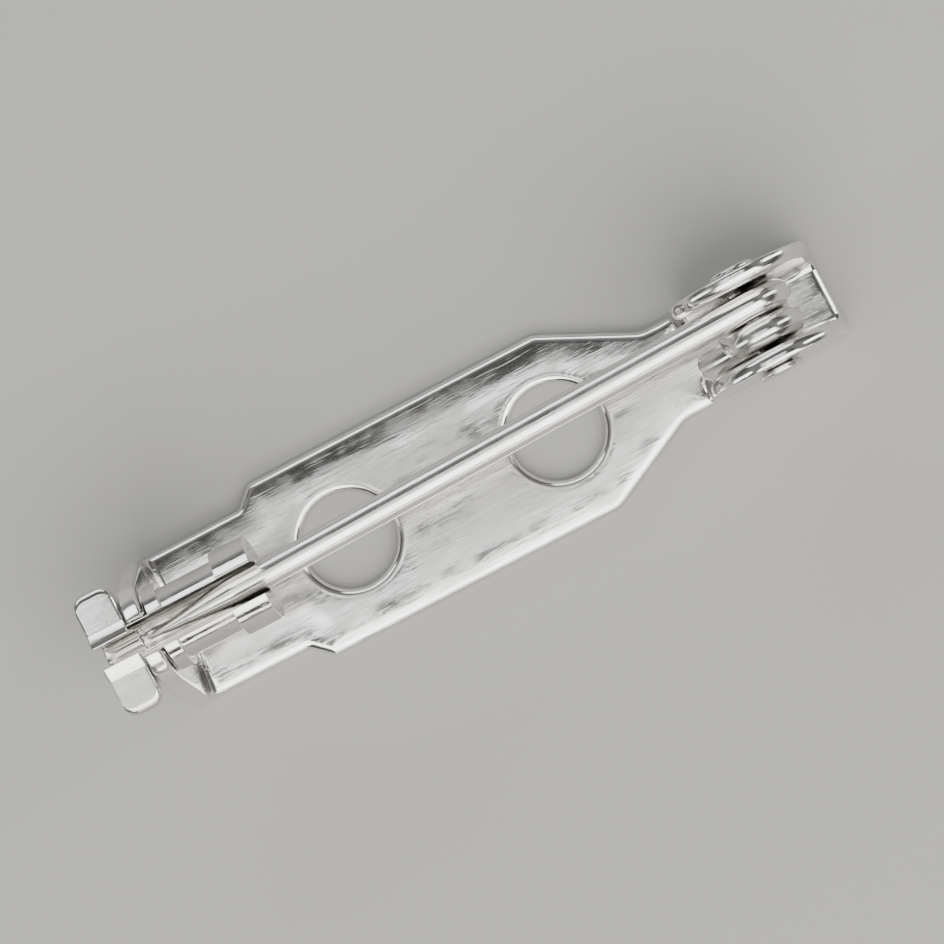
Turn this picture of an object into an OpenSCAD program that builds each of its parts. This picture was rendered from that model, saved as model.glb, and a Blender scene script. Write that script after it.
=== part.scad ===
// Brooch pin finding with a turning safety catch. Millimetres.
// +X runs from the hinge end to the catch end, +Z is the pin side, and the origin is on the flat
// back face, half way between the hinge end and the outer face of the catch wall.

/* [Bar] */
// Length from the hinge end to the outer face of the catch wall
bar_len = 20; // [19.5:0.5:23]
// Full width of the bar
bar_w = 5.2; // [4.8:0.1:6]
// Thickness of the sheet that the bar is stamped from
sheet = 0.5; // [0.4:0.05:0.55]
// Length of the full-width stretch, measured along one edge
full_len = 8.6; // [8.4:0.1:9]
// Length of the taper from the full width to the neck
taper_len = 2.6; // [2:0.1:2.8]
// Length of each sloping shoulder at the narrow end
shoulder_len = 0.55; // [0.3:0.05:0.7]
// Width of the narrow end and of the catch wall
tab_w = 4.2; // [3.8:0.1:4.6]
// Length of the narrow end, wall included
tab_len = 3.3; // [3:0.1:3.5]
// Diameter of the two fastening holes
hole_d = 2.6; // [2:0.1:2.8]
// Distance between the centres of the holes
hole_pitch = 6.25; // [6:0.05:6.5]
// Distance from the catch end to the centre of the first hole
hole_inset = 5.6; // [5.5:0.05:5.8]

/* [Hinge ears] */
// Clear gap between the two ears
ear_gap = 1.65; // [1.6:0.01:1.8]
// Length of an ear along the bar, which is also the diameter of its round top
ear_len = 3.9; // [3.6:0.1:4]
// Height of the centre of the round top above the back face
ear_centre = 3; // [2.8:0.05:3.2]
// Outer radius of the folds between the neck and the ears
ear_fold_r = 0.7; // [0.6:0.05:0.8]

/* [Rivet] */
// Distance from the hinge end to the rivet
rivet_inset = 2; // [1.8:0.05:2.2]
// Height of the rivet above the back face
rivet_h = 3.15; // [3.1:0.05:3.3]
// Diameter of the rivet's shaft
rivet_d = 0.72; // [0.6:0.02:0.72]
// Diameter of the rivet's heads
head_d = 1.24; // [1.1:0.02:1.4]
// Height of the rivet's heads over the ears
head_h = 0.18; // [0.12:0.02:0.24]

/* [Pin] */
// Diameter of the spring wire
wire_d = 0.76; // [0.7:0.02:0.76]
// Radial play of the coil on the rivet
coil_play = 0.03; // [0.02:0.01:0.06]
// Distance from the catch end back to the sharp tip
tip_inset = 0.1; // [0:0.05:0.3]
// Length of the tapered point
point_len = 2.6; // [2:0.1:3]

/* [Catch wall] */
// Outer radius of the fold between the bar and the wall
wall_fold_r = 0.75; // [0.65:0.05:0.85]
// Height at which the wall's sides begin to draw in
wall_side_h = 1.5; // [1:0.1:2]
// Outer radius of the ring at the top of the wall
ring_r = 1.45; // [1.35:0.05:1.6]
// Width of the throat that opens the ring upwards
throat_w = 1; // [0.96:0.02:1.2]

/* [Barrel] */
// Diameter of the neck that turns in the ring
neck_d = 1.7; // [1.6:0.02:1.7]
// Radial play of the neck in the ring
neck_play = 0.04; // [0.03:0.01:0.08]
// Play between the wall and the shoulders of the barrel, on each side
end_play = 0.06; // [0.04:0.01:0.1]
// Width of the slot that takes the pin
slot_w = 0.92; // [0.88:0.02:0.94]
// Width of the slot between the thumb lobes, which lies past the pin's tip
lobe_slot_w = 0.56; // [0.4:0.02:0.7]
// Diameter of the barrel's body
body_d = 2; // [1.9:0.05:2.1]
// Diameter of the collars at both ends of the body
collar_d = 2.4; // [2.3:0.05:2.5]
// Length of the collar that runs against the wall
collar_len = 0.4; // [0.3:0.05:0.5]
// Length of the end block on the side of the pin
block_len = 1; // [0.8:0.05:1.1]
// Length of the barrel on the side of the pin
inner_len = 3; // [2.8:0.1:3.1]
// Length of the barrel outside the wall
outer_len = 1.1; // [0.9:0.05:1.2]
// Reach of a thumb lobe from the barrel's axis
lobe_reach = 1.75; // [1.6:0.05:1.9]
// Thickness of a thumb lobe
lobe_t = 0.5; // [0.4:0.05:0.55]
// Radius of a thumb lobe's corners, seen from above
lobe_corner_r = 0.35; // [0.2:0.05:0.4]

/* [Hidden] */

$fn = 72;

// Ends of the bar, and the stations of its outline from the catch end back to the ears
hinge_x = -bar_len / 2;
catch_x = bar_len / 2;
step_x = catch_x - tab_len;
full_x = step_x - shoulder_len;
taper_x = full_x - full_len;
neck_x = taper_x - taper_len;
ear_x = hinge_x + ear_len;
hole_x = [catch_x - hole_inset, catch_x - hole_inset - hole_pitch];

// Neck: its whole width is that of the folded ears, and the flat between the folds is what is left
neck_w = ear_gap + 2 * sheet;
floor_w = neck_w - 2 * ear_fold_r;

// Rivet, and the coil wound on it
rivet_x = hinge_x + rivet_inset;
press_gap = 0.02;
coil_r = rivet_d / 2 + coil_play + wire_d / 2;
turn_y = wire_d / 2 + 0.015;

// The shank runs level from the top of the coil. It leaves from the coil's -Y side and comes over
// straight to the middle of the barrel, which turns about its height.
shank_z = rivet_h + coil_r;
tip_x = catch_x - tip_inset;
point_x = tip_x - point_len;
tip_r = 0.03;
centre_x = 8.3;

// Winding angle: 0 at the bottom of the coil, 180 at the top, 540 where the shank leaves it.
// The wire crosses from one side of the rivet to the other within a third of a turn.
tail_a = 35;
shank_a = 540;
cross_a = [230, 350];
turn_step = (shank_a - tail_a) / 34;

// Tail: it leaves the coil on a slant and ends just over the floor of the neck
tail_gap = 0.05;
tail_end_z = sheet + tail_gap + wire_d / 2;
tail_len = (rivet_h - coil_r * cos(tail_a) - tail_end_z) / sin(tail_a);

// Sides of the wire
wire_sides = 16;

// Wall: each side runs straight up and then on a tangent to the ring
side_off = [tab_w / 2, wall_side_h - shank_z];
tangent_a = atan2(side_off[1], side_off[0]) + acos(ring_r / norm(side_off));

// Barrel: stations along its axis, from the pin side to the outside
wall_in = catch_x - sheet - end_play;
wall_out = catch_x + end_play;
barrel_in = wall_in - inner_len;

big = 3 * bar_w;

// Extrudes a profile drawn as (x, z) symmetrically across the bar
module across(width) {
    rotate([90, 0, 0]) linear_extrude(height = width, center = true) children();
}

// Extrudes a profile drawn as (y, z) along the bar, from x0 over a length
module along(x0, length) {
    translate([x0, 0, 0]) rotate([90, 0, 90]) linear_extrude(height = length) children();
}

// Round bar lying along X from x0 to x1 at the barrel's height
module shaft_x(x0, x1, d) {
    translate([x0, 0, shank_z]) rotate([0, 90, 0]) cylinder(h = x1 - x0, d = d);
}

// Smooth step from 0 to 1 as v goes from a to b
function ease(v, a, b) = let(t = max(0, min(1, (v - a) / (b - a)))) t * t * (3 - 2 * t);

// Point of the wire's centre line on the coil, at a winding angle
function coil_point(a) = [rivet_x - coil_r * sin(a), turn_y * (1 - 2 * ease(a, cross_a[0], cross_a[1])),
                          rivet_h - coil_r * cos(a)];

// Point of the tail, at a distance out from the coil
function tail_point(d) = coil_point(tail_a) + d * [cos(tail_a), 0, -sin(tail_a)];

// Point of the shank's centre line at a place along the bar
function shank_point(x) = [x, turn_y * (x - centre_x) / (centre_x - rivet_x), shank_z];

// Unit vector along v, and the direction of a line of rows at row i
function unit(v) = v / norm(v);
function heading(rows, i) = unit(rows[min(i + 1, len(rows) - 1)][0] - rows[max(i - 1, 0)][0]);

// Ring of points about row i, square to the line; a row is [centre, radius]
function wire_ring(rows, i) = let(t = heading(rows, i), u = unit([0, 1, 0] - t[1] * t), v = cross(t, u))
    [for (k = [0 : wire_sides - 1]) let(a = 360 * k / wire_sides)
        rows[i][0] + rows[i][1] * (cos(a) * u + sin(a) * v)];

// Round wire through the rows
module wire(rows) {
    n = wire_sides;
    last = len(rows) - 1;
    points = [for (i = [0 : last]) each wire_ring(rows, i)];
    sides = [for (i = [0 : last - 1], k = [0 : n - 1]) let(m = (k + 1) % n)
        each [[i * n + k, (i + 1) * n + k, (i + 1) * n + m], [i * n + k, (i + 1) * n + m, i * n + m]]];
    ends = [[for (k = [0 : n - 1]) k], [for (k = [n - 1 : -1 : 0]) last * n + k]];
    polyhedron(points = points, faces = concat(sides, ends));
}

// Quarter of a sheet fold about a centre, in the quadrant given by the signs
module fold_quarter(centre, radius, sx, sy) {
    translate(centre) intersection() {
        difference() {
            circle(r = radius);
            circle(r = radius - sheet);
        }
        translate([sx < 0 ? -radius : 0, sy < 0 ? -radius : 0]) square(radius);
    }
}

// Side view of the flat bar with the fold and the wall at the catch end
module bar_side() {
    translate([ear_x - 0.2, 0]) square([catch_x - wall_fold_r - ear_x + 0.2, sheet]);
    fold_quarter([catch_x - wall_fold_r, wall_fold_r], wall_fold_r, 1, -1);
    translate([catch_x - sheet, wall_fold_r]) square([sheet, shank_z + ring_r - wall_fold_r]);
}

// Outline of the bar seen from above
module bar_plan() {
    edge = [[ear_x - 0.2, floor_w / 2], [ear_x, neck_w / 2], [neck_x, neck_w / 2], [taper_x, bar_w / 2],
            [full_x, bar_w / 2], [step_x, tab_w / 2], [catch_x, tab_w / 2]];
    polygon(concat(edge, [for (i = [len(edge) - 1 : -1 : 0]) [edge[i][0], -edge[i][1]]]));
}

// Outline of the wall seen from the end, as wide as the bar below the fold
module wall_end() {
    translate([-big / 2, 0]) square([big, wall_fold_r]);
    t = [ring_r * cos(tangent_a), shank_z + ring_r * sin(tangent_a)];
    difference() {
        union() {
            polygon([[-tab_w / 2, 0], [tab_w / 2, 0], [tab_w / 2, wall_side_h], t,
                     [-t[0], t[1]], [-tab_w / 2, wall_side_h]]);
            translate([0, shank_z]) circle(r = ring_r);
        }
        translate([0, shank_z]) circle(r = neck_d / 2 + neck_play);
        translate([-throat_w / 2, shank_z]) square([throat_w, 2 * ring_r]);
    }
}

// Section of the neck with its two ears folded up
module ear_section() {
    translate([-floor_w / 2, 0]) square([floor_w, sheet]);
    for (s = [-1, 1]) {
        fold_quarter([s * floor_w / 2, ear_fold_r], ear_fold_r, s, -1);
        translate([s > 0 ? ear_gap / 2 : -ear_gap / 2 - sheet, ear_fold_r])
            square([sheet, ear_centre + ear_len / 2 - ear_fold_r]);
    }
}

// Side view of an ear: straight sides and a round top
module ear_side() {
    translate([hinge_x, 0]) square([ear_len, ear_centre]);
    translate([hinge_x + ear_len / 2, ear_centre]) circle(d = ear_len);
}

// Stamped and folded bar
module base_bar() {
    color([0.86, 0.86, 0.85]) difference() {
        union() {
            intersection() {
                across(big) bar_side();
                linear_extrude(height = big) bar_plan();
                along(hinge_x, bar_len) wall_end();
            }
            intersection() {
                along(hinge_x, ear_len) ear_section();
                across(big) ear_side();
            }
        }
        for (x = hole_x) translate([x, 0, -1]) cylinder(h = sheet + 2, d = hole_d);
        translate([rivet_x, 0, rivet_h]) rotate([90, 0, 0])
            cylinder(h = big, d = rivet_d + 2 * press_gap, center = true);
    }
}

// Upset head: a round rim with a dished middle, standing on z = 0
module rivet_head() {
    rim_r = head_h / 2;
    dish_r = head_d;
    difference() {
        rotate_extrude() {
            square([head_d / 2 - rim_r, head_h]);
            translate([head_d / 2 - rim_r, rim_r]) circle(r = rim_r);
        }
        translate([0, 0, head_h + dish_r - 0.6 * head_h]) sphere(r = dish_r * 0.98);
    }
}

// Rivet through both ears
module hinge_rivet() {
    face = neck_w / 2 + press_gap;
    color([0.84, 0.84, 0.83]) translate([rivet_x, 0, rivet_h]) {
        rotate([90, 0, 0]) cylinder(h = 2 * face + 0.02, d = rivet_d, center = true);
        for (s = [0, 180]) rotate([0, 0, s]) translate([0, -face, 0]) rotate([90, 0, 0]) rivet_head();
    }
}

// Spring wire: tail, close coil, straight shank and sharp point
module pin_stem() {
    r = wire_d / 2;
    rows = concat(
        [[tail_point(tail_len), 0.7 * r], [tail_point(tail_len - 0.3 * r), r]],
        [for (a = [tail_a : turn_step : shank_a + 0.1]) [coil_point(a), r]],
        [[shank_point(ear_x), r], [shank_point(point_x), r],
         [shank_point(point_x + point_len / 2), 0.62 * r], [shank_point(tip_x), tip_r]]);
    color([0.8, 0.8, 0.79]) wire(rows);
}

// Both thumb lobes seen from the end
module lobe_end() {
    stem = lobe_reach - lobe_t / 2;
    translate([0, body_d / 2 - lobe_t / 2]) {
        square([2 * stem, lobe_t], center = true);
        for (s = [-1, 1]) translate([s * stem, 0]) circle(d = lobe_t);
    }
}

// Both thumb lobes seen from above, with rounded outer corners
module lobe_plan() {
    r = lobe_corner_r;
    translate([wall_out, -lobe_reach + r]) square([outer_len, 2 * (lobe_reach - r)]);
    translate([wall_out + r, -lobe_reach]) square([outer_len - 2 * r, 2 * lobe_reach]);
    for (x = [wall_out + r, wall_out + outer_len - r], s = [-1, 1])
        translate([x, s * (lobe_reach - r)]) circle(r = r);
}

// Slotted turning barrel, drawn with its slot up
module locking_barrel() {
    color([0.82, 0.82, 0.81]) difference() {
        union() {
            shaft_x(barrel_in, barrel_in + block_len, collar_d);
            shaft_x(barrel_in, wall_in, body_d);
            shaft_x(wall_in - collar_len, wall_in, collar_d);
            shaft_x(barrel_in, wall_out + outer_len, neck_d);
            shaft_x(wall_out, wall_out + outer_len, collar_d);
            translate([0, 0, shank_z]) intersection() {
                along(wall_out, outer_len) lobe_end();
                linear_extrude(height = body_d) lobe_plan();
            }
        }
        shaft_x(barrel_in - 1, wall_out, slot_w);
        translate([barrel_in - 1, -slot_w / 2, shank_z]) cube([wall_out - barrel_in + 1, slot_w, big]);
        shaft_x(wall_in, wall_out + outer_len + 1, lobe_slot_w);
        translate([wall_in, -lobe_slot_w / 2, shank_z]) cube([big, lobe_slot_w, big]);
    }
}

base_bar();
hinge_rivet();
pin_stem();
locking_barrel();
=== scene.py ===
import bmesh
import bpy
import math
from mathutils import Matrix, Vector
from mathutils.bvhtree import BVHTree
from mathutils.geometry import delaunay_2d_cdt


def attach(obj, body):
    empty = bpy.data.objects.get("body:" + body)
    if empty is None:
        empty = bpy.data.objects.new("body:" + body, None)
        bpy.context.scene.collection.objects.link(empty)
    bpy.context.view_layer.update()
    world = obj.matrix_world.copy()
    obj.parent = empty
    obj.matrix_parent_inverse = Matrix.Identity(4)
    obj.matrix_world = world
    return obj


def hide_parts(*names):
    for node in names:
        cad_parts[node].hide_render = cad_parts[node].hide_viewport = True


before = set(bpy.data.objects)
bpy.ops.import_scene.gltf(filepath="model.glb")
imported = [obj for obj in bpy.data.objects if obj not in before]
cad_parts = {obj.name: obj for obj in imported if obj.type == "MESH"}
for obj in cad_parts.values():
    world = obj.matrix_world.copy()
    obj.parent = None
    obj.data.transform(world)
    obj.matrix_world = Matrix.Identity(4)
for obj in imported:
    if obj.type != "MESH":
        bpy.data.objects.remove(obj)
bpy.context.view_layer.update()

# Bar: one stamping of 0.5 mm steel sheet, pierced with two holes, folded up into two ears at the
# hinge end and into the catch wall at the other end, then tumbled and plated in bright silver.
# It is drawn here as the flat blank, in millimetres, and then folded as the press folds it.

SHEET = 0.5
HINGE_END, CATCH_END = -10.0, 10.0
BAR_HALF, NARROW_HALF, NECK_HALF, FLOOR_HALF = 2.6, 2.1, 1.325, 0.625
STEP_X, FULL_X, TAPER_X, NECK_X = 6.7, 6.15, -2.45, -5.05
HOLES_X, HOLE_R = (4.4, -1.85), 1.3
EAR_X, EAR_R, EAR_CENTRE_Z = -6.1, 1.95, 3.0
RIVET_X, RIVET_Z, RIVET_BORE_R = -8.0, 3.15, 0.38
EAR_FOLD_R, WALL_FOLD_R = 0.7, 0.75
BARREL_Z, RING_R, RING_BORE_R, THROAT_HALF = 3.92, 1.45, 0.89, 0.5
WALL_SIDE_Z = 1.5
EAR_ARC = math.pi / 2 * (EAR_FOLD_R - SHEET / 2)
WALL_ARC = math.pi / 2 * (WALL_FOLD_R - SHEET / 2)
WALL_START = CATCH_END - WALL_FOLD_R

# Corners of the outline: the slit that frees each ear, and the radius of each corner.
SLIT = 0.1
SLIT_CORNER_R, SHOULDER_R, NECK_R, TAPER_R, FULL_R, STEP_R = 0.045, 0.18, 0.8, 0.5, 0.12, 0.15
THROAT_OUTER_R, THROAT_INNER_R = 0.09, 0.08

# Cut edges: radius that tumbling leaves on the pin's side, on the back and in the rivet's bores,
# and width and depth of the roll beside the cuts. The narrow ring gets a smaller share of both.
EDGE_R, BACK_EDGE_R, BORE_EDGE_R = 0.2, 0.06, 0.03
ROLL_W, ROLL, HOLE_ROLL_W, HOLE_ROLL = 1.3, 0.1, 0.34, 0.03
BACK_ROLL_W, BACK_ROLL = 0.45, 0.012
CROWN = 0.022
RING_FADE, RING_ROLL_LESS, RING_EDGE_LESS = 1.5, 0.7, 0.5

# Mesh: spacing of its points in the folds, along the cuts and in the open, steps of its arcs, and
# rows beside the cuts. A point keeps a share of its row's distance from its own cut, a belt's width
# from the outline, the holes and the rivet's bores, and a little more where it lies in the open.
MM = 0.001
FOLD_STEP, EDGE_STEP, OPEN_STEP = 0.05, 0.11, 0.32
FOLD_CUTS, FOLD_MARGIN = 14, 0.1
EASE_STEPS, EAR_STEPS, RING_STEPS, BORE_STEPS, ROUND_STEPS = 6, 36, 16, 34, 60
EASE_SHARE = 0.49
FAN_FROM, FAN_STEP = math.radians(20), math.radians(15)
CURL_ROWS = [EDGE_R * (1 - math.cos(math.radians(18 * k))) for k in range(1, 6)]
OUTLINE_ROWS = CURL_ROWS + [0.26, 0.34, 0.43, 0.53, 0.65, 0.77, 0.88]
HOLE_ROWS = CURL_ROWS + [0.25, 0.3, 0.34]
BORE_ROWS = [0.03, 0.12]
ROW_SHARE, BELT, HOLE_BELT, BORE_BELT = 0.98, 0.9, 0.36, 0.2
OPEN_BELTS = (0.96, 0.45, 0.25)
BLANK_LENGTH, BLANK_WIDTH = 25, 9.6


def ear_blank(x, z):
    """Place in the flat blank of a point of the ear at x along the bar and z above its back."""
    return (x, FLOOR_HALF + EAR_ARC + z - EAR_FOLD_R)


def wall_blank(y, z):
    """Place in the flat blank of a point of the catch wall."""
    return (WALL_START + WALL_ARC + z - WALL_FOLD_R, y)


def arc(centre, radius, start, end, steps):
    """Points of an arc, angles in degrees."""
    return [(centre[0] + radius * math.cos(math.radians(start + (end - start) * i / steps)),
             centre[1] + radius * math.sin(math.radians(start + (end - start) * i / steps)))
            for i in range(steps + 1)]


def eased(corner, before, after, radius):
    """The corner rounded to a radius between its neighbours."""
    c, a, b = Vector(corner), Vector(before), Vector(after)
    u, v = (a - c).normalized(), (b - c).normalized()
    half = u.angle(v) / 2
    reach = min(radius / math.tan(half), EASE_SHARE * (a - c).length, EASE_SHARE * (b - c).length)
    shares = [i / EASE_STEPS for i in range(EASE_STEPS + 1)]
    return [tuple(c + u * reach * (1 - t) ** 2 + v * reach * t ** 2) for t in shares]


def blank_edge():
    """Outline of half of the blank, from the hinge end to the bottom of the ring's bore."""
    ear_side = ear_blank(0, EAR_CENTRE_Z)[1]
    points = [(HINGE_END, 0.0)] + arc((HINGE_END + EAR_R, ear_side), EAR_R, 180, 0, EAR_STEPS)
    corners = [((EAR_X, ear_side), 0),
               ((EAR_X, FLOOR_HALF), SLIT_CORNER_R),
               ((EAR_X + SLIT, FLOOR_HALF), SLIT_CORNER_R),
               ((EAR_X + SLIT, NECK_HALF), SHOULDER_R),
               ((NECK_X, NECK_HALF), NECK_R),
               ((TAPER_X, BAR_HALF), TAPER_R),
               ((FULL_X, BAR_HALF), FULL_R),
               ((STEP_X, NARROW_HALF), STEP_R),
               (wall_blank(NARROW_HALF, WALL_SIDE_Z), 0)]
    for (before, _), (corner, radius), (after, _) in zip(corners, corners[1:], corners[2:]):
        points += eased(corner, before, after, radius)
    points.append(corners[-1][0])
    side = (NARROW_HALF, WALL_SIDE_Z - BARREL_Z)
    touch = math.degrees(math.atan2(side[1], side[0]) + math.acos(RING_R / math.hypot(*side)))
    ring_top = math.degrees(math.acos(THROAT_HALF / RING_R))
    bore_top = math.degrees(math.acos(THROAT_HALF / RING_BORE_R))
    outer = arc((0, BARREL_Z), RING_R, touch, ring_top, RING_STEPS)
    bore = arc((0, BARREL_Z), RING_BORE_R, bore_top, -90, BORE_STEPS)
    ring = outer[:-1] + eased(outer[-1], outer[-2], bore[0], THROAT_OUTER_R)
    ring += eased(bore[0], outer[-1], bore[1], THROAT_INNER_R) + bore[1:]
    return points + [wall_blank(y, z) for y, z in ring]


def folded(s, t, h):
    """Where a point of the blank comes to lie, h from the middle of the sheet towards the pin."""
    if s > WALL_START:
        r = WALL_FOLD_R - SHEET / 2
        turn = min((s - WALL_START) / r, math.pi / 2)
        rest = max(0.0, s - WALL_START - WALL_ARC)
        along = WALL_START + (r - h) * math.sin(turn)
        return Vector((along, t, WALL_FOLD_R - (r - h) * math.cos(turn) + rest))
    if s < EAR_X + SLIT / 2 and abs(t) > FLOOR_HALF:
        r = EAR_FOLD_R - SHEET / 2
        turn = min((abs(t) - FLOOR_HALF) / r, math.pi / 2)
        rest = max(0.0, abs(t) - FLOOR_HALF - EAR_ARC)
        side = math.copysign(FLOOR_HALF + (r - h) * math.sin(turn), t)
        return Vector((s, side, EAR_FOLD_R - (r - h) * math.cos(turn) + rest))
    return Vector((s, t, SHEET / 2 + h))


def spaced(loop):
    """The closed outline, material on its right, with its points close enough to be folded."""
    points = []
    for a, b in zip(loop, loop[1:] + loop[:1]):
        a, b = Vector(a), Vector(b)
        length = (b - a).length
        if length < 1e-4:
            continue
        x, y = (a + b) / 2
        ear_fold = x < EAR_X + SLIT and -FOLD_MARGIN < abs(y) - FLOOR_HALF < EAR_ARC + FOLD_MARGIN
        wall_fold = 0 < x - WALL_START < WALL_ARC
        count = math.ceil(length / (FOLD_STEP if ear_fold or wall_fold else EDGE_STEP))
        points += [a.lerp(b, i / count) for i in range(count)]
    return points


def beside(loop, rows):
    """Points inside the material in rows beside an outline, fanned out round its inner corners."""
    points = []
    for before, here, after in zip(loop[-1:] + loop[:-1], loop, loop[1:] + loop[:1]):
        u, v = (here - before).normalized(), (after - here).normalized()
        turn = math.atan2(u.x * v.y - u.y * v.x, u.dot(v))
        fans = math.ceil(turn / FAN_STEP) if turn > FAN_FROM else 0
        stretch = 1 / math.cos(turn / 2) if turn < 0 else 1.0
        for share in [k / fans for k in range(fans + 1)] if fans else [0.5]:
            heading = math.atan2(u.y, u.x) - math.pi / 2 + turn * share
            way = Vector((math.cos(heading), math.sin(heading))) * stretch
            points += [(here + way * d, d) for d in rows]
    return points


def fence(loops):
    """Search tree for the distance to a group of outlines."""
    corners, walls = [], []
    for loop in loops:
        first, count = len(corners), 2 * len(loop)
        for point in loop:
            corners += [(point.x, point.y, -1.0), (point.x, point.y, 1.0)]
        walls += [[first + i, first + (i + 2) % count, first + (i + 3) % count, first + i + 1]
                  for i in range(0, count, 2)]
    return BVHTree.FromPolygons(corners, walls)


def cut_blank():
    """The flat blank with its holes, in triangles that follow every cut edge, and each corner's
    distance from the outline, from the two holes and from the rivet's bores."""
    upper = blank_edge()
    rivet_s, rivet_t = ear_blank(RIVET_X, RIVET_Z)
    rounds = [((x, 0.0), HOLE_R) for x in HOLES_X]
    rounds += [((rivet_s, side * rivet_t), RIVET_BORE_R) for side in (1, -1)]
    loops = [spaced(upper + [(x, -y) for x, y in reversed(upper[1:-1])])]
    loops += [spaced(arc(centre, radius, 0, 360, round(ROUND_STEPS * math.sqrt(radius)))[:-1])
              for centre, radius in rounds]
    fences = [fence(loops[:1]), fence(loops[1:3]), fence(loops[3:])]

    def gaps_at(point):
        return [tree.find_nearest((point.x, point.y, 0.0))[3] for tree in fences]

    # Points in rows beside each cut, then over the open sheet, each taken if it keeps its distances.
    offered = [(point, (ROW_SHARE * d, HOLE_BELT, BORE_BELT))
               for point, d in beside(loops[0], OUTLINE_ROWS)]
    for loop in loops[1:3]:
        offered += [(point, (BELT, ROW_SHARE * d, 0)) for point, d in beside(loop, HOLE_ROWS)]
    for loop in loops[3:]:
        offered += [(point, (BELT, 0, ROW_SHARE * d)) for point, d in beside(loop, BORE_ROWS)]
    rows = round(BLANK_WIDTH / OPEN_STEP)
    for row in range(rows):
        for k in range(round(BLANK_LENGTH / OPEN_STEP)):
            along = HINGE_END + OPEN_STEP * (k + 0.5 * (row % 2))
            offered.append((Vector((along, OPEN_STEP * (row - rows / 2))), OPEN_BELTS))
    taken = [point for loop in loops for point in loop]
    for point, least in offered:
        if all(gap >= want for gap, want in zip(gaps_at(point), least)):
            if all((point - Vector(centre)).length > radius for centre, radius in rounds):
                taken.append(point)

    # Triangles between them, without those that lie inside a hole or a bore.
    edges, owner = [], []
    for number, loop in enumerate(loops):
        first = len(owner)
        edges += [(first + i, first + (i + 1) % len(loop)) for i in range(len(loop))]
        owner += [number] * len(loop)
    owner += [-1] * (len(taken) - len(owner))
    places, _, triangles, came_from, _, _ = delaunay_2d_cdt(taken, edges, [], 1, 1e-6)
    flat = bmesh.new()
    corners = [flat.verts.new((point.x, point.y, 0.0)) for point in places]
    lies_on = [owner[source[0]] if source else -1 for source in came_from]
    for ring in triangles:
        on = {lies_on[i] for i in ring}
        if len(on) > 1 or on <= {-1, 0}:
            flat.faces.new([corners[i] for i in ring])
    bmesh.ops.delete(flat, geom=[v for v in flat.verts if not v.link_faces], context="VERTS")

    # Straight rows of edges along the three folds, so that they bend evenly.
    cuts = [((WALL_START + WALL_ARC * k / FOLD_CUTS, 0, 0), (1, 0, 0)) for k in range(FOLD_CUTS + 1)]
    cuts += [((0, side * (FLOOR_HALF + EAR_ARC * k / FOLD_CUTS), 0), (0, 1, 0))
             for k in range(FOLD_CUTS + 1) for side in (-1, 1)]
    for place, across in cuts:
        near = [f for f in flat.faces if across[0] or f.calc_center_median().x < EAR_X + SLIT]
        parts = near + list(dict.fromkeys(e for f in near for e in f.edges))
        parts += list(dict.fromkeys(v for f in near for v in f.verts))
        bmesh.ops.bisect_plane(flat, geom=parts, dist=1e-4, plane_co=place, plane_no=across)
    for f in flat.faces:
        f.normal_update()
        if f.normal.z < 0:
            f.normal_flip()
    return flat, {v: gaps_at(v.co) for v in flat.verts}


def drop(gaps, s, t, faces_pin):
    """How far a face lies below flat: the press rolls the sheet over beside the cuts, less so on the
    back and round the narrow ring, tumbling rounds the edges, and the bar is a little crowned."""
    ring = min(1.0, max(0.0, (s - CATCH_END) / RING_FADE))
    share = 1 - RING_ROLL_LESS * ring
    # Each cut: width and depth of its roll, radius of its edge. The rivet's bores have no roll.
    bore = (1.0, 0.0, BORE_EDGE_R)
    if faces_pin:
        outline = (ROLL_W * share, ROLL * share, EDGE_R * (1 - RING_EDGE_LESS * ring))
        holes = (HOLE_ROLL_W, HOLE_ROLL, EDGE_R)
        low = CROWN * (1 - ring) * min(1.0, abs(t) / BAR_HALF) ** 2
    else:
        outline = (BACK_ROLL_W * share, BACK_ROLL * share, BACK_EDGE_R)
        holes = (HOLE_ROLL_W, BACK_ROLL, BACK_EDGE_R)
        low = 0.0
    for gap, (width, depth, radius) in zip(gaps, (outline, holes, bore)):
        low += depth * max(0.0, 1 - gap / width) ** 2
        if gap < radius:
            low += radius - math.sqrt(max(0.0, radius ** 2 - (radius - gap) ** 2))
    return low


def fold_up(flat, gaps):
    """Both faces and the rim of the folded sheet, as one closed mesh in millimetres."""
    body = bmesh.new()
    top, back = [{v: body.verts.new(folded(v.co.x, v.co.y,
                                           side * (SHEET / 2 - drop(gaps[v], v.co.x, v.co.y, side > 0))))
                  for v in flat.verts} for side in (1, -1)]
    for f in flat.faces:
        rim = all(min(gaps[v]) < EDGE_R + 1e-3 for v in f.verts)
        for corners in ([top[v] for v in f.verts], [back[v] for v in reversed(f.verts)]):
            body.faces.new(corners).material_index = 1 if rim else 0
    for f in flat.faces:
        for loop in f.loops:
            if loop.edge.is_boundary:
                a, b = loop.vert, loop.link_loop_next.vert
                body.faces.new([top[b], top[a], back[a], back[b]]).material_index = 1
    flat.free()
    return body


# Patterns in the plating, in cycles per metre along, across and up: hazy patches and smudges, then
# the heights, from the sheet's slow waves and shallow dents to grain, drawn lines and scratches.
HAZE, SMUDGE = (420, 900, 900), (1500, 2600, 2600)
WAVES, DENTS, PEEL = (70, 430, 430), (500, 1500, 1500), (2900, 7600, 7600)
LINES, SCRATCHES = (620, 17000, 17000), (700, 13000, 9000)
WAVE_DEPTH, DENT_DEPTH = 0.00002, 0.000004
SMUDGE_TURN, DENT_TURN, PEEL_TURN, LINE_TURN, SCRATCH_TURN = 20, 4, 3, 1.5, 27


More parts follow.
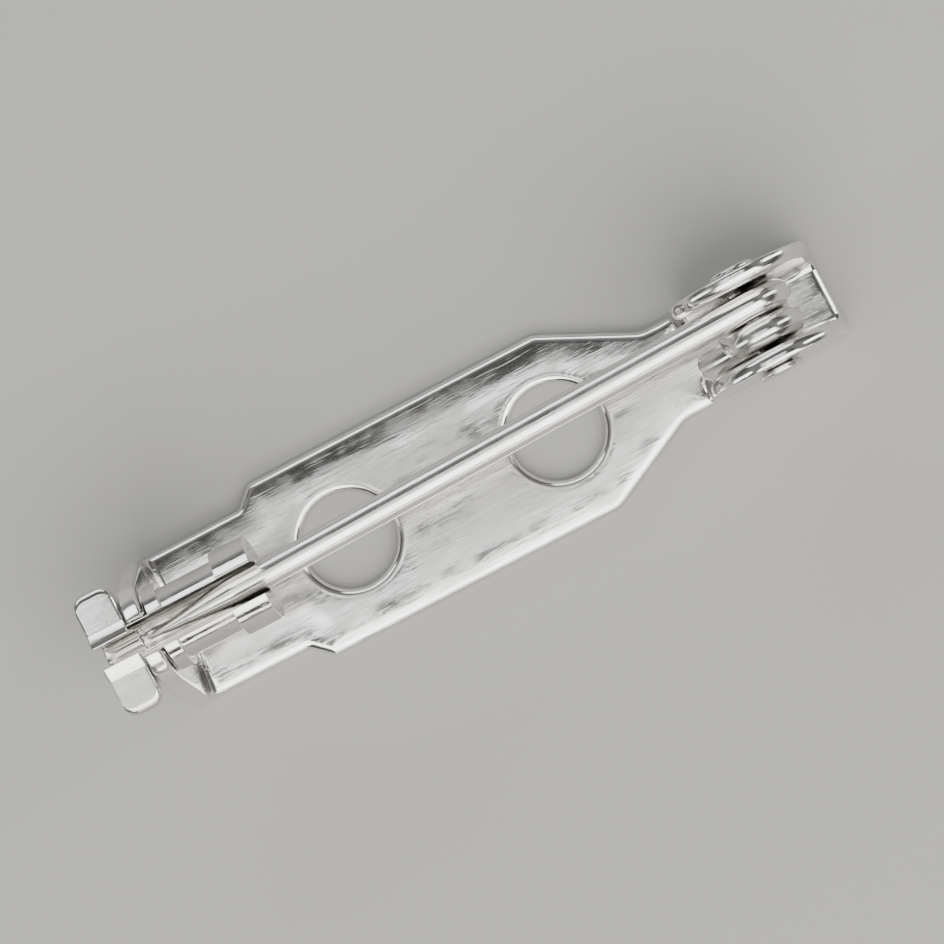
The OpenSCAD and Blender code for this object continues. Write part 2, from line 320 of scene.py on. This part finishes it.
def plated(name, tone, shade, grain, polish):
    """Bright silver plating: tone and shade are the lightest and darkest colour, grain the depth of
    its fine marks in metres, polish the lowest and highest roughness. Marks run along the bar."""
    mat = bpy.data.materials.new(name)
    mat.use_nodes = True
    tree = mat.node_tree
    shader = tree.nodes["Principled BSDF"]
    shader.inputs["Metallic"].default_value = 1.0
    where = tree.nodes.new("ShaderNodeTexCoord").outputs["Object"]

    def noise(scale, detail=2.0, turn=0.0, rough=0.5):
        spread = tree.nodes.new("ShaderNodeMapping")
        spread.inputs["Scale"].default_value = scale
        spread.inputs["Rotation"].default_value = (0, 0, math.radians(turn))
        tree.links.new(where, spread.inputs["Vector"])
        node = tree.nodes.new("ShaderNodeTexNoise")
        node.inputs["Scale"].default_value = 1.0
        node.inputs["Detail"].default_value = detail
        node.inputs["Roughness"].default_value = rough
        tree.links.new(spread.outputs["Vector"], node.inputs["Vector"])
        return node.outputs["Fac"]

    def ramp(value, low, high, a=0.0, b=1.0):
        node = tree.nodes.new("ShaderNodeMapRange")
        node.interpolation_type = "SMOOTHSTEP"
        for socket, number in zip(node.inputs[1:5], (low, high, a, b)):
            socket.default_value = number
        tree.links.new(value, node.inputs["Value"])
        return node.outputs["Result"]

    haze = ramp(noise(HAZE, 3.0), 0.34, 0.68)
    tint = tree.nodes.new("ShaderNodeMix")
    tint.data_type = "RGBA"
    tint.inputs["A"].default_value = (*tone, 1)
    tint.inputs["B"].default_value = (*shade, 1)
    tree.links.new(haze, tint.inputs["Factor"])
    tree.links.new(tint.outputs["Result"], shader.inputs["Base Color"])

    matt = tree.nodes.new("ShaderNodeMath")
    matt.operation = "ADD"
    tree.links.new(haze, matt.inputs[0])
    tree.links.new(ramp(noise(SMUDGE, 4.0, SMUDGE_TURN), 0.3, 0.75), matt.inputs[1])
    tree.links.new(ramp(matt.outputs[0], 0.2, 1.7, *polish), shader.inputs["Roughness"])

    heights = ((noise(WAVES, 0.0), WAVE_DEPTH),
               (noise(DENTS, 1.0, DENT_TURN), DENT_DEPTH),
               (noise(PEEL, 3.0, PEEL_TURN, 0.6), grain),
               (ramp(noise(LINES, 2.0, LINE_TURN), 0.55, 0.76), 0.5 * grain),
               (ramp(noise(SCRATCHES, 1.0, SCRATCH_TURN), 0.66, 0.76), -0.4 * grain))
    bump = None
    for height, depth in heights:
        node = tree.nodes.new("ShaderNodeBump")
        node.inputs["Strength"].default_value = 1.0
        node.inputs["Distance"].default_value = depth
        tree.links.new(height, node.inputs["Height"])
        if bump:
            tree.links.new(bump, node.inputs["Normal"])
        bump = node.outputs["Normal"]
    tree.links.new(bump, shader.inputs["Normal"])
    return mat


def finish_piece(name, work, materials, edge=0.0, sharp=0.0):
    """Sets a piece drawn in millimetres in place, in metres. Given an edge, it first rounds those
    edges to it that turn by more than the angle sharp, and gives them the last material."""
    mesh = bpy.data.meshes.new(name)
    bmesh.ops.recalc_face_normals(work, faces=work.faces)
    work.to_mesh(mesh)
    work.free()
    for m in materials:
        mesh.materials.append(m)
    mesh.shade_smooth()
    piece = bpy.data.objects.new(name, mesh)
    bpy.context.collection.objects.link(piece)
    if edge:
        rounding = piece.modifiers.new("edges", "BEVEL")
        rounding.width = edge
        rounding.segments = 4
        rounding.limit_method = "ANGLE"
        rounding.angle_limit = sharp
        rounding.material = len(materials) - 1
        rounding.miter_outer = "MITER_ARC"
        piece.modifiers.new("even_faces", "WEIGHTED_NORMAL")
    evaluated = piece.evaluated_get(bpy.context.evaluated_depsgraph_get())
    done = bpy.data.meshes.new_from_object(evaluated)
    done.transform(Matrix.Scale(MM, 4))
    done.name = name
    piece.modifiers.clear()
    piece.data = done
    bpy.data.meshes.remove(mesh)
    return piece


sheet_plating = plated("sheet_plating", (0.79, 0.78, 0.76), (0.66, 0.648, 0.625), 0.0000022, (0.09, 0.24))
rubbed_edges = plated("rubbed_edges", (0.88, 0.87, 0.85), (0.78, 0.765, 0.74), 0.000001, (0.1, 0.2))
bar = finish_piece("stamped_bar", fold_up(*cut_blank()), [sheet_plating, rubbed_edges])
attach(bar, "base")
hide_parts("base_bar")

# Hinge rivet: a short pin of soft wire through both ears. Each end is upset into a low round
# head, and the riveting punch leaves a dimple in the middle of it.

RIVET_R, HEAD_R, HEAD_H, HEAD_GAP = 0.36, 0.62, 0.18, 0.02
DIMPLE = 0.085
DIMPLE_SHAPE = ((0.0, 1.0), (0.1, 0.96), (0.2, 0.8), (0.29, 0.5), (0.36, 0.2), (0.42, 0.03), (0.47, 0.0))
RIVET_STEPS = 72


def turned_rivet():
    """The rivet as a turned form about its own axis, in millimetres."""
    face = NECK_HALF + HEAD_GAP
    out = face + HEAD_H
    round_r = HEAD_H / 2
    half = [(r, out - share * DIMPLE) for r, share in DIMPLE_SHAPE]
    half += [(HEAD_R - round_r + round_r * math.cos(a), face + round_r + round_r * math.sin(a))
             for a in [math.radians(90 - 15 * k) for k in range(12)]]
    half += [(HEAD_R - round_r, face), (RIVET_R, face)]
    work = bmesh.new()
    rows = []
    for r, y in half + [(r, -y) for r, y in reversed(half)]:
        turns = [2 * math.pi * k / RIVET_STEPS for k in range(RIVET_STEPS if r else 1)]
        rows.append([work.verts.new((RIVET_X + r * math.cos(a), y, RIVET_Z + r * math.sin(a)))
                     for a in turns])
    for a, b in zip(rows, rows[1:]):
        for k in range(RIVET_STEPS):
            ring = [a[k % len(a)], a[(k + 1) % len(a)], b[(k + 1) % len(b)], b[k % len(b)]]
            work.faces.new(list(dict.fromkeys(ring)))
    return work


rivet_plating = plated("rivet_plating", (0.81, 0.8, 0.78), (0.7, 0.685, 0.66), 0.0000015, (0.1, 0.22))
rivet = finish_piece("hinge_rivet_upset", turned_rivet(), [rivet_plating])
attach(rivet, "base")
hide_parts("hinge_rivet")

# Pin: hard-drawn spring wire, wound once round the rivet with a short tail against the bar, run
# straight to the catch and ground to a long point. A node tree sweeps the wire along its line.

WIRE_R, COIL_R, TURN_Y = 0.38, 0.77, 0.395
TAIL_A, SHANK_A, CROSS_START, CROSS_END = 35.0, 540.0, 230.0, 350.0
TAIL_GAP, TAIL_CUT = 0.05, ((0.0, 0.6), (0.012, 0.74), (0.035, 0.87), (0.07, 0.96), (0.12, 1.0))
TIP_X, POINT_LEN, TIP_R, POINT_CURVE, CENTRE_X = 9.9, 2.6, 0.03, 1.25, 8.3
COIL_STEPS, SHANK_STEPS, POINT_STEPS, WIRE_SIDES = 110, 40, 24, 40


def coil_point(a):
    """Centre of the wire on the coil at a winding angle."""
    t = max(0.0, min(1.0, (a - CROSS_START) / (CROSS_END - CROSS_START)))
    side = TURN_Y * (1 - 2 * t * t * (3 - 2 * t))
    a = math.radians(a)
    return Vector((RIVET_X - COIL_R * math.sin(a), side, RIVET_Z - COIL_R * math.cos(a)))


def wire_line():
    """Centre line of the wire from the cut tail to the tip, with the share of its full radius."""
    slope = math.radians(TAIL_A)
    tail_len = (RIVET_Z - COIL_R * math.cos(slope) - SHEET - TAIL_GAP - WIRE_R) / math.sin(slope)
    out = Vector((math.cos(slope), 0, -math.sin(slope)))
    tail = [(tail_len - d, r) for d, r in TAIL_CUT] + [(tail_len * 0.6, 1.0), (tail_len * 0.3, 1.0)]
    line = [(coil_point(TAIL_A) + out * d, r) for d, r in tail]
    line += [(coil_point(TAIL_A + (SHANK_A - TAIL_A) * i / COIL_STEPS), 1.0)
             for i in range(COIL_STEPS + 1)]
    point_x = TIP_X - POINT_LEN
    along = [RIVET_X + (point_x - RIVET_X) * i / SHANK_STEPS for i in range(1, SHANK_STEPS + 1)]
    along += [point_x + POINT_LEN * i / POINT_STEPS for i in range(1, POINT_STEPS + 1)]
    for x in along:
        ground = max(0.0, (x - point_x) / POINT_LEN) ** POINT_CURVE
        side = TURN_Y * (x - CENTRE_X) / (CENTRE_X - RIVET_X)
        line.append((Vector((x, side, RIVET_Z + COIL_R)), 1.0 - (1.0 - TIP_R / WIRE_R) * ground))
    return line


def wire_tree(material):
    """Node tree that sweeps a round wire along a line whose points carry the share of full radius."""
    tree = bpy.data.node_groups.new("drawn_wire", "GeometryNodeTree")
    sockets = (("Line", "INPUT", "NodeSocketGeometry"), ("Wire radius", "INPUT", "NodeSocketFloat"),
               ("Sides", "INPUT", "NodeSocketInt"), ("Wire", "OUTPUT", "NodeSocketGeometry"))
    for name, way, kind in sockets:
        tree.interface.new_socket(name, in_out=way, socket_type=kind)
    given = tree.nodes.new("NodeGroupInput")
    made = tree.nodes.new("NodeGroupOutput")
    circle = tree.nodes.new("GeometryNodeCurvePrimitiveCircle")
    share = tree.nodes.new("GeometryNodeInputRadius")
    sweep = tree.nodes.new("GeometryNodeCurveToMesh")
    smooth = tree.nodes.new("GeometryNodeSetShadeSmooth")
    real = tree.nodes.new("GeometryNodeRealizeInstances")
    paint = tree.nodes.new("GeometryNodeSetMaterial")
    sweep.inputs["Fill Caps"].default_value = True
    paint.inputs["Material"].default_value = material
    join = tree.links.new
    join(given.outputs["Line"], sweep.inputs["Curve"])
    join(given.outputs["Wire radius"], circle.inputs["Radius"])
    join(given.outputs["Sides"], circle.inputs["Resolution"])
    join(circle.outputs["Curve"], sweep.inputs["Profile Curve"])
    join(share.outputs["Radius"], sweep.inputs["Scale"])
    join(sweep.outputs["Mesh"], smooth.inputs["Geometry"])
    join(smooth.outputs["Geometry"], real.inputs["Geometry"])
    join(real.outputs["Geometry"], paint.inputs["Geometry"])
    join(paint.outputs["Geometry"], made.inputs["Wire"])
    return tree


def swept_wire(name, material):
    """The pin as a piece in metres."""
    line = wire_line()
    curve = bpy.data.curves.new("wire_line", "CURVE")
    curve.dimensions = "3D"
    spline = curve.splines.new("POLY")
    spline.points.add(len(line) - 1)
    spline.points.foreach_set("co", [c for p, r in line for c in (*p, 1.0)])
    spline.points.foreach_set("radius", [r for p, r in line])
    drawn = bpy.data.objects.new("wire_line", curve)
    bpy.context.collection.objects.link(drawn)
    sweep = drawn.modifiers.new("wire", "NODES")
    sweep.node_group = wire_tree(material)
    sizes = {"Wire radius": WIRE_R, "Sides": WIRE_SIDES}
    for item in sweep.node_group.interface.items_tree:
        if item.name in sizes:
            sweep[item.identifier] = sizes[item.name]
    evaluated = drawn.evaluated_get(bpy.context.evaluated_depsgraph_get())
    mesh = bpy.data.meshes.new_from_object(evaluated)
    bpy.data.objects.remove(drawn)
    bpy.data.curves.remove(curve)
    work = bmesh.new()
    work.from_mesh(mesh)
    bmesh.ops.remove_doubles(work, verts=work.verts, dist=1e-5)
    bmesh.ops.recalc_face_normals(work, faces=work.faces)
    work.to_mesh(mesh)
    work.free()
    mesh.transform(Matrix.Scale(MM, 4))
    mesh.name = name
    piece = bpy.data.objects.new(name, mesh)
    bpy.context.collection.objects.link(piece)
    return piece


wire_plating = plated("wire_plating", (0.84, 0.83, 0.81), (0.73, 0.715, 0.69), 0.000001, (0.16, 0.27))
pin = swept_wire("spring_pin", wire_plating)
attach(pin, "pin")
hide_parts("pin_stem")

# Turning barrel: a small turned steel sleeve, slotted along its length to take the pin. Its neck
# runs in the wall's ring, a collar bears on the wall, and two thumb lobes turn it from outside.

BARREL_IN, HEAD_END, COLLAR_START, WALL_IN, WALL_OUT, BARREL_OUT = 6.44, 7.44, 9.04, 9.44, 10.06, 11.16
BLOCK_R, BODY_R, BARREL_NECK_R = 1.2, 1.0, 0.85
SLOT_HALF, LOBE_SLOT_HALF = 0.46, 0.28
LOBE_REACH, LOBE_T, LOBE_TOP, LOBE_CORNER = 1.75, 0.5, 1.0, 0.35
LOBE_EDGE, LOBE_EASE, SLEEVE_EDGE, SHARP = 0.07, 0.05, 0.055, math.radians(40)
NECK_INTO_BLOCK = 0.04
SLEEVE_STEPS, SLOT_STEPS = 88, 28
RIM_STEPS, TIP_STEPS, BELLY_STEPS, LOBE_SLOT_STEPS = 4, 16, 40, 20


def at_barrel(work, x, y, w):
    """A corner of the barrel, w above its axis."""
    return work.verts.new((x, y, BARREL_Z + w))


def slotted_sleeve(work):
    """The part of the barrel on the pin's side, closed, with its slot up."""
    profile = [(BARREL_IN, BLOCK_R), (HEAD_END, BLOCK_R), (HEAD_END, BODY_R), (COLLAR_START, BODY_R),
               (COLLAR_START, BLOCK_R), (WALL_IN, BLOCK_R), (WALL_IN, BARREL_NECK_R),
               (WALL_OUT + NECK_INTO_BLOCK, BARREL_NECK_R)]
    rows = []
    for x, r in profile:
        start = math.acos(SLOT_HALF / r)
        turns = [start - (math.pi + 2 * start) * k / SLEEVE_STEPS for k in range(SLEEVE_STEPS + 1)]
        rows.append([at_barrel(work, x, r * math.cos(a), r * math.sin(a)) for a in turns])
    for a, b in zip(rows, rows[1:]):
        for k in range(SLEEVE_STEPS):
            work.faces.new([a[k], a[k + 1], b[k + 1], b[k]])
    turns = [math.pi * k / SLOT_STEPS for k in range(SLOT_STEPS + 1)]
    ends = [[at_barrel(work, x, -SLOT_HALF * math.cos(a), -SLOT_HALF * math.sin(a)) for a in turns]
            for x in (profile[0][0], profile[-1][0])]
    for k in range(SLOT_STEPS):
        work.faces.new([ends[0][k + 1], ends[0][k], ends[1][k], ends[1][k + 1]])
    work.faces.new([row[-1] for row in rows] + [ends[1][0], ends[0][0]])
    work.faces.new([row[0] for row in reversed(rows)] + [ends[0][-1], ends[1][-1]])
    work.faces.new(rows[0] + ends[0])
    work.faces.new(list(reversed(rows[-1])) + list(reversed(ends[1])))


def lobe_section(reach, inset):
    """Half of the outer block's outline seen from the end, from slot to bottom, all of it drawn in
    by an inset."""
    r, slot = BLOCK_R - inset, LOBE_SLOT_HALF + inset
    top, under = LOBE_TOP - inset, LOBE_TOP - LOBE_T + inset
    tip = (top - under) / 2
    rim = arc((0, 0), r, math.degrees(math.acos(slot / r)), math.degrees(math.asin(top / r)), RIM_STEPS)
    belly = arc((0, 0), r, math.degrees(math.asin(under / r)), -90, BELLY_STEPS)
    points = eased(rim[0], (slot, 0), rim[1], LOBE_EASE) + rim[1:-1]
    points += eased(rim[-1], rim[-2], (reach, top), LOBE_EASE)
    points += arc((reach - inset - tip, (top + under) / 2), tip, 90, -90, TIP_STEPS)
    points += eased(belly[0], (reach, under), belly[1], LOBE_EASE) + belly[1:]
    return points


def lobed_block(work):
    """The part of the barrel outside the wall, with both thumb lobes and rounded ends, closed."""
    turns = [math.radians(18 * k) for k in range(6)]
    stations = [(LOBE_EDGE * (1 - math.cos(t)), LOBE_EDGE * (1 - math.sin(t))) for t in turns]
    stations += [(LOBE_CORNER * (1 - math.cos(math.radians(t))), 0.0) for t in (45, 60, 75, 90)]
    along = [(WALL_OUT + d, d, inset) for d, inset in stations]
    along += [(BARREL_OUT - d, d, inset) for d, inset in reversed(stations)]
    rows = []
    for x, d, inset in along:
        reach = LOBE_REACH - LOBE_CORNER + math.sqrt(LOBE_CORNER ** 2 - (LOBE_CORNER - d) ** 2)
        half = lobe_section(reach, inset)
        section = half + [(-y, w) for y, w in reversed(half[:-1])]
        section += arc((0, 0), LOBE_SLOT_HALF + inset, 180, 360, LOBE_SLOT_STEPS)
        rows.append([at_barrel(work, x, y, w) for y, w in section])
    count = len(rows[0])
    for a, b in zip(rows, rows[1:]):
        for k in range(count):
            work.faces.new([a[k], a[(k + 1) % count], b[(k + 1) % count], b[k]])
    work.faces.new(list(reversed(rows[0])))
    work.faces.new(rows[-1])


sleeve = bmesh.new()
slotted_sleeve(sleeve)
bmesh.ops.dissolve_limit(sleeve, angle_limit=math.radians(0.6), verts=sleeve.verts, edges=sleeve.edges)
lobed_block(sleeve)
barrel_plating = plated("barrel_plating", (0.75, 0.74, 0.72), (0.61, 0.595, 0.57), 0.0000016, (0.09, 0.22))
barrel = finish_piece("turning_barrel", sleeve, [barrel_plating, rubbed_edges], SLEEVE_EDGE, SHARP)
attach(barrel, "barrel")
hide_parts("locking_barrel")

# Table and light: a plain pale table under the finding. A large soft box leans in from the near
# side, and narrow ones stand at both sides and both ends. Three more on the ceiling, and the dim
# room between them, give the bright plate its long bands.

TABLE_HALF = 1.5
corners = [(x * TABLE_HALF, y * TABLE_HALF, 0) for x, y in ((-1, -1), (1, -1), (1, 1), (-1, 1))]
table_mesh = bpy.data.meshes.new("table")
table_mesh.from_pydata(corners, [], [(0, 1, 2, 3)])
table = bpy.data.objects.new("table", table_mesh)
bpy.context.collection.objects.link(table)
pale = bpy.data.materials.new("pale_table")
pale.use_nodes = True
pale.node_tree.nodes["Principled BSDF"].inputs["Base Color"].default_value = (0.365, 0.359, 0.348, 1)
pale.node_tree.nodes["Principled BSDF"].inputs["Roughness"].default_value = 0.75
table_mesh.materials.append(pale)

# Each soft box: name, place, what it is aimed at, length and width, power in watts, colour.
SOFT_BOXES = (
    ("overhead", (-0.02, 0.21, 0.285), (0, 0, 0), (0.5, 0.33), 2.6, (1, 0.988, 0.965)),
    ("far_strip", (0.05, -0.4, 0.2), (0, 0, 0), (0.5, 0.16), 0.9, (0.95, 0.98, 1)),
    ("ceiling_strip", (0.05, -0.088, 0.5), (0.05, 0, 0), (0.4, 0.05), 0.15, (1, 1, 1)),
    ("ceiling_field", (0.05, 0.028, 0.5), (0.05, 0, 0), (0.4, 0.07), 0.16, (1, 1, 1)),
    ("ceiling_panel", (0.125, -0.02, 0.5), (0.125, 0, 0), (0.075, 0.1), 0.045, (1, 1, 1)),
    ("near_strip", (-0.1, 0.42, 0.1), (0, 0, 0), (0.5, 0.05), 0.5, (1, 0.96, 0.94)),
    ("hinge_end_strip", (-0.4, -0.05, 0.16), (0, 0, 0), (0.06, 0.3), 0.4, (1, 0.99, 0.97)),
    ("catch_end_strip", (0.4, 0.03, 0.2), (0, 0, 0), (0.06, 0.3), 0.4, (0.97, 0.98, 1)),
)
for name, place, target, (length, width), power, colour in SOFT_BOXES:
    data = bpy.data.lights.new(name, "AREA")
    data.shape = "RECTANGLE"
    data.size, data.size_y = length, width
    data.energy = power
    data.color = colour
    light = bpy.data.objects.new(name, data)
    light.location = place
    light.rotation_mode = "QUATERNION"
    light.rotation_quaternion = (Vector(target) - Vector(place)).to_track_quat("-Z", "Y")
    bpy.context.collection.objects.link(light)

# The room's grey by height, from the horizon and all below it (0) to straight above (1). It is pale
# at the horizon, dark just above, dim round the ceiling's lights, and a little warm all over.
ROOM_GREYS = ((0.0, 0.4), (0.1, 0.24), (0.26, 0.05), (0.45, 0.12), (0.72, 0.24), (0.84, 0.2),
              (0.9, 0.09), (0.962, 0.09), (0.983, 0.16), (1.0, 0.26))
room = bpy.data.worlds.new("room")
bpy.context.scene.world = room
room.use_nodes = True
nodes, link = room.node_tree.nodes, room.node_tree.links.new
height = nodes.new("ShaderNodeSeparateXYZ")
link(nodes.new("ShaderNodeTexCoord").outputs["Generated"], height.inputs["Vector"])
walls = nodes.new("ShaderNodeValToRGB")
link(height.outputs["Z"], walls.inputs["Fac"])
while len(walls.color_ramp.elements) < len(ROOM_GREYS):
    walls.color_ramp.elements.new(0.5)
for element, (place, grey) in zip(walls.color_ramp.elements, ROOM_GREYS):
    element.position = place
    element.color = (grey, 0.985 * grey, 0.965 * grey, 1)
link(walls.outputs["Color"], nodes["Background"].inputs["Color"])
nodes["Background"].inputs["Strength"].default_value = 1.0

# Camera: it looks almost straight down, a little from the near long side and from the hinge end,
# and is turned so that the bar rises to the right.
TARGET = Vector((0.0005, 0.0, 0.002))
AWAY, RISE = 0.138, math.radians(27.6)
back = Vector((-0.087, 0.055, 0.995)).normalized()
bar_way = Vector((1, 0, 0)) - back * back.x
bar_way.normalize()
across = back.cross(bar_way)
right = across * math.sin(RISE) - bar_way * math.cos(RISE)
up = -bar_way * math.sin(RISE) - across * math.cos(RISE)
camera = bpy.data.objects.new("camera", bpy.data.cameras.new("camera"))
bpy.context.collection.objects.link(camera)
camera.data.lens = 200
camera.data.sensor_width = 36
camera.data.clip_start = 0.01
camera.data.clip_end = 10
turn = Matrix((right, up, back)).transposed()
camera.matrix_world = Matrix.Translation(TARGET + back * AWAY) @ turn.to_4x4()
bpy.context.scene.camera = camera
